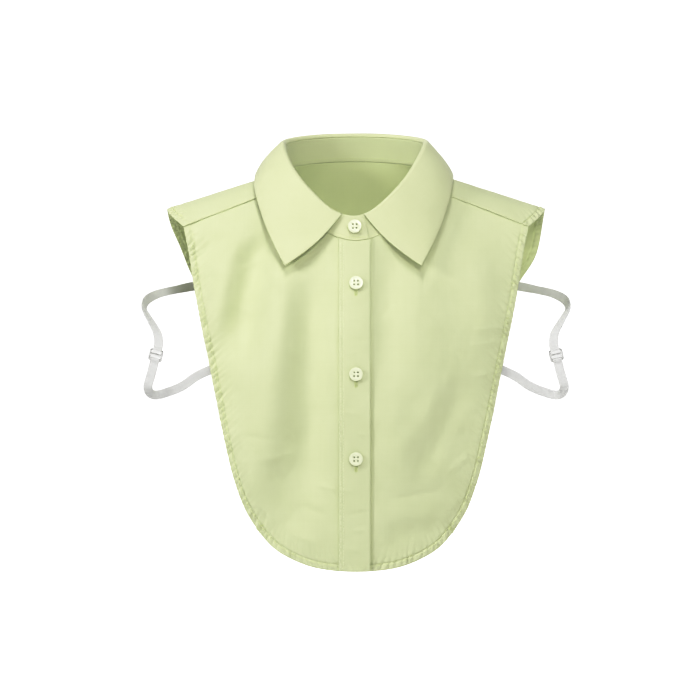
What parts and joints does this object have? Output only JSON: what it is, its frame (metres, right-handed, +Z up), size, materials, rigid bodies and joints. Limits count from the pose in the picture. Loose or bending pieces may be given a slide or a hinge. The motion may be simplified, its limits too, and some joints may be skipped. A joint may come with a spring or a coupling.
{
  "type": "detachable bib collar",
  "caption": "Detachable pointed shirt collar with a short buttoned bib front and back, held under the arms by elastic side straps with sliders.",
  "frame": {"origin": "middle of the neck opening, level with the points where the shoulders meet the neck seam", "axes": "+Z up, the buttoned front faces -Y, +X towards the wearer's left"},
  "size_m": [0.3951, 0.162, 0.4028],
  "materials": {
    "cotton": "pale lime-green plain-weave cotton with a soft sheen",
    "button": "polished cream-green, four holes",
    "elastic": "white knitted elastic",
    "slider": "white satin plastic"
  },
  "bodies": {
    "root": {"collar_stand": "cotton", "collar_leaf": "cotton", "back_panel": "cotton", "front_right": "cotton", "front_left": "cotton", "placket": "cotton", "button_1": "button", "button_2": "button", "button_3": "button", "button_4": "button", "strap_right": "elastic", "strap_left": "elastic", "slider_right": "slider", "slider_left": "slider"}
  },
  "joints": []
}
